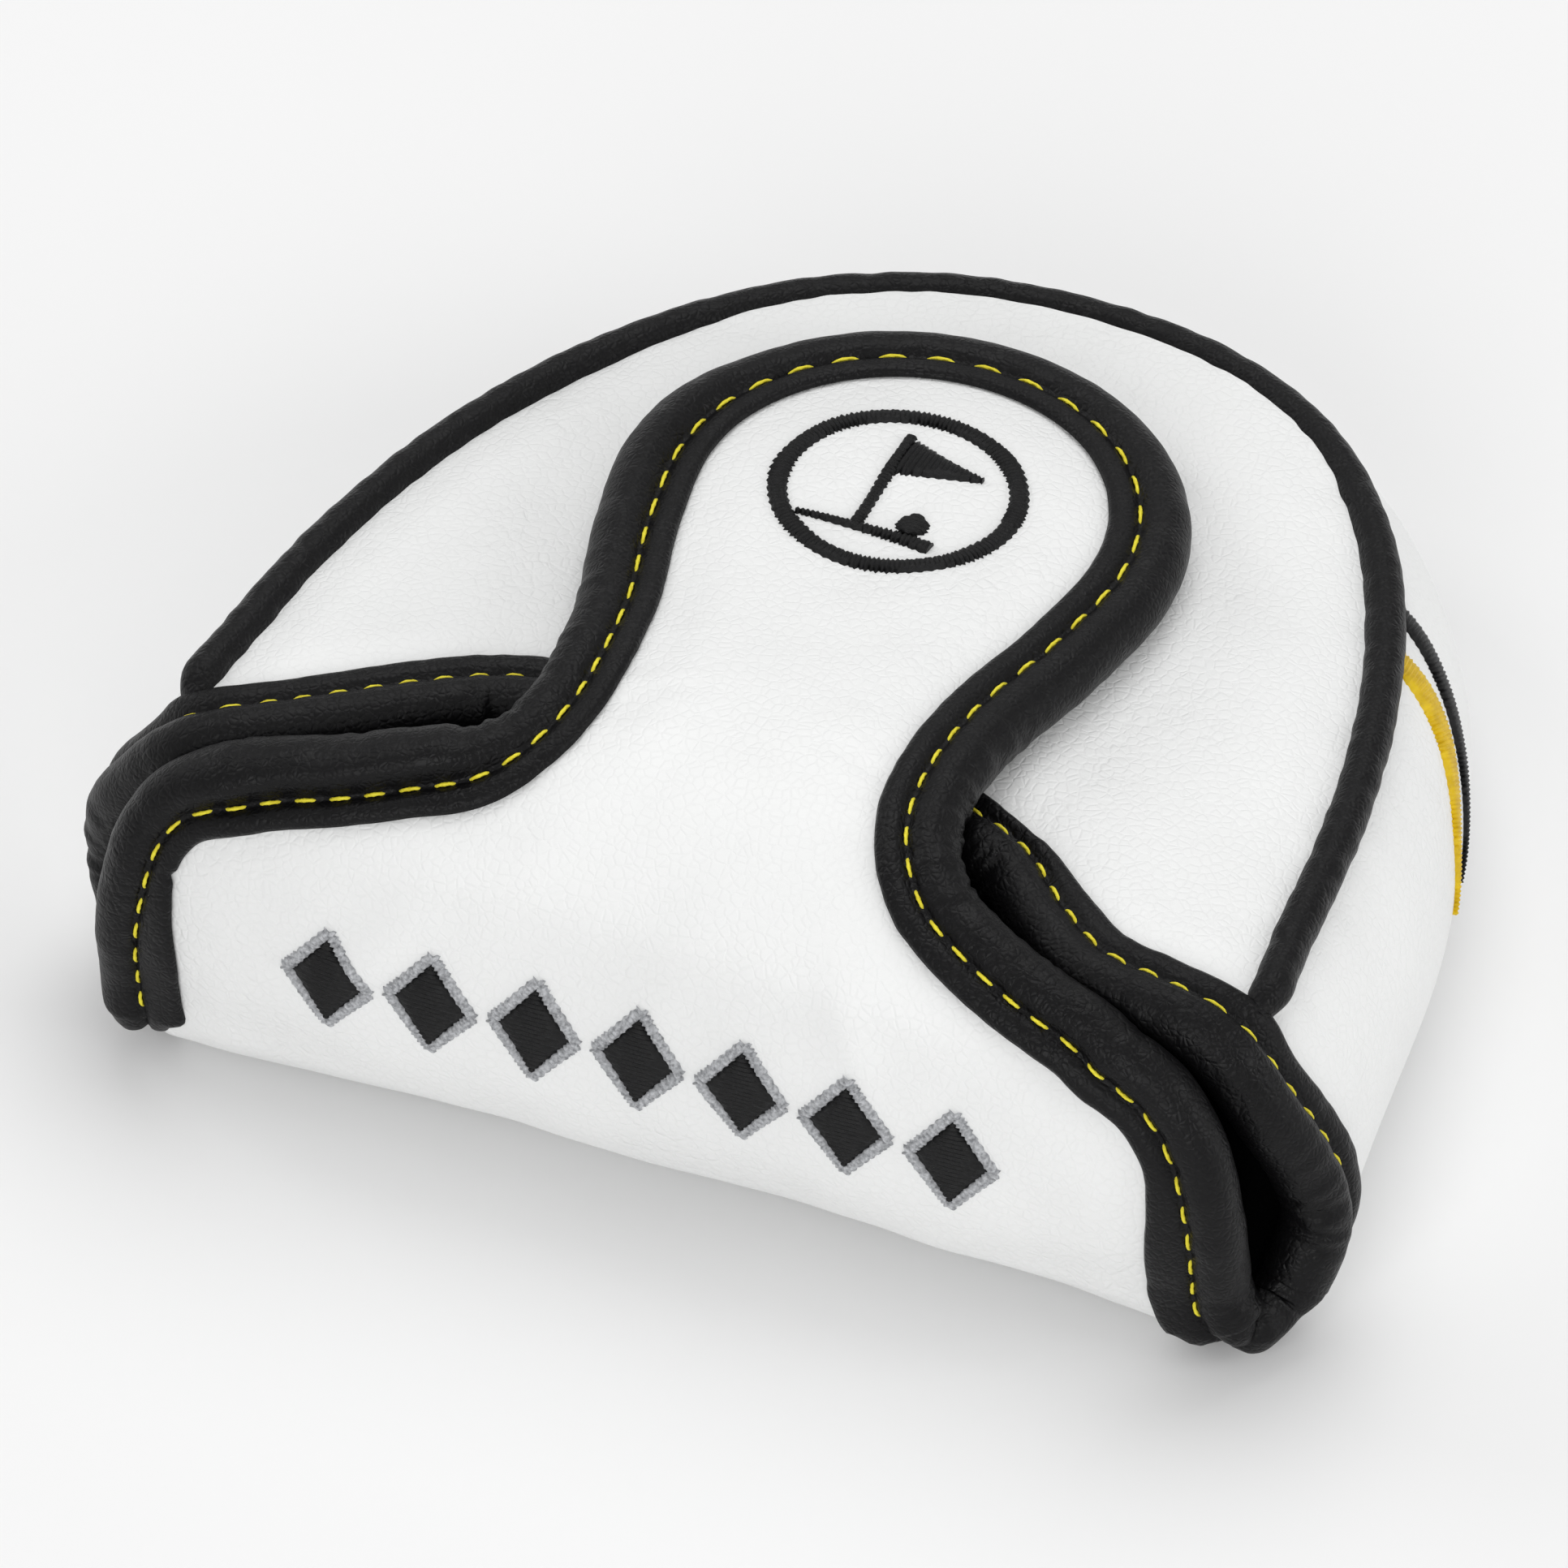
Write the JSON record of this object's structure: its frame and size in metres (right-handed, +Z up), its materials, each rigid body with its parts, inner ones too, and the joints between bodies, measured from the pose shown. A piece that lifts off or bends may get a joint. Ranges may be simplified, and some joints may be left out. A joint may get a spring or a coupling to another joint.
{
  "type": "putter head cover",
  "caption": "Padded leather pouch for a mallet putter head, with a wrap-over flap that narrows to a neck beside the shaft and closes on top with hook-and-loop pads.",
  "frame": {"origin": "middle of the base, under the centre of the bounding box", "axes": "+X across the putter from heel to toe, +Y towards the pouch's closed end, +Z up"},
  "size_m": [0.1352, 0.1187, 0.0486],
  "materials": {
    "white_leather": "white grained synthetic leather, satin",
    "black_leather": "black grained synthetic leather, satin",
    "foam": "grey padding foam, matte",
    "lining": "black brushed lining, matte",
    "filler_cord": "white filler cord, matte",
    "hook_and_loop": "black hook-and-loop tape, matte"
  },
  "bodies": {
    "pouch": {"bottom_leather": "white_leather", "bottom_foam": "foam", "bottom_lining": "lining", "gusset_leather": "white_leather", "gusset_foam": "foam", "gusset_lining": "lining", "top_leather": "white_leather", "top_foam": "foam", "top_lining": "lining", "piping_cover": "black_leather", "piping_cord": "filler_cord", "mouth_binding": "black_leather", "mouth_binding_cord": "filler_cord", "loop_pad": "hook_and_loop"},
    "flap_front": {"flap_leather": "white_leather", "flap_foam": "foam", "flap_lining": "lining", "flap_binding_left": "black_leather", "flap_binding_right": "black_leather", "flap_binding_cord_left": "filler_cord", "flap_binding_cord_right": "filler_cord"},
    "flap_tongue": {"tongue_leather": "white_leather", "tongue_foam": "foam", "tongue_lining": "lining", "tongue_binding": "black_leather", "tongue_binding_cord": "filler_cord", "hook_pad": "hook_and_loop"}
  },
  "joints": [
    {"name": "front_fold", "type": "hinge", "parent": "pouch", "child": "flap_front", "pos_m": [0, -0.05588, 0.0017], "axis": [1, 0, 0], "range_deg": [0, 80]},
    {"name": "tongue_lift", "type": "hinge", "parent": "flap_front", "child": "flap_tongue", "pos_m": [0, -0.03178, 0.04882], "axis": [1, 0, 0], "range_deg": [0, 120]}
  ]
}
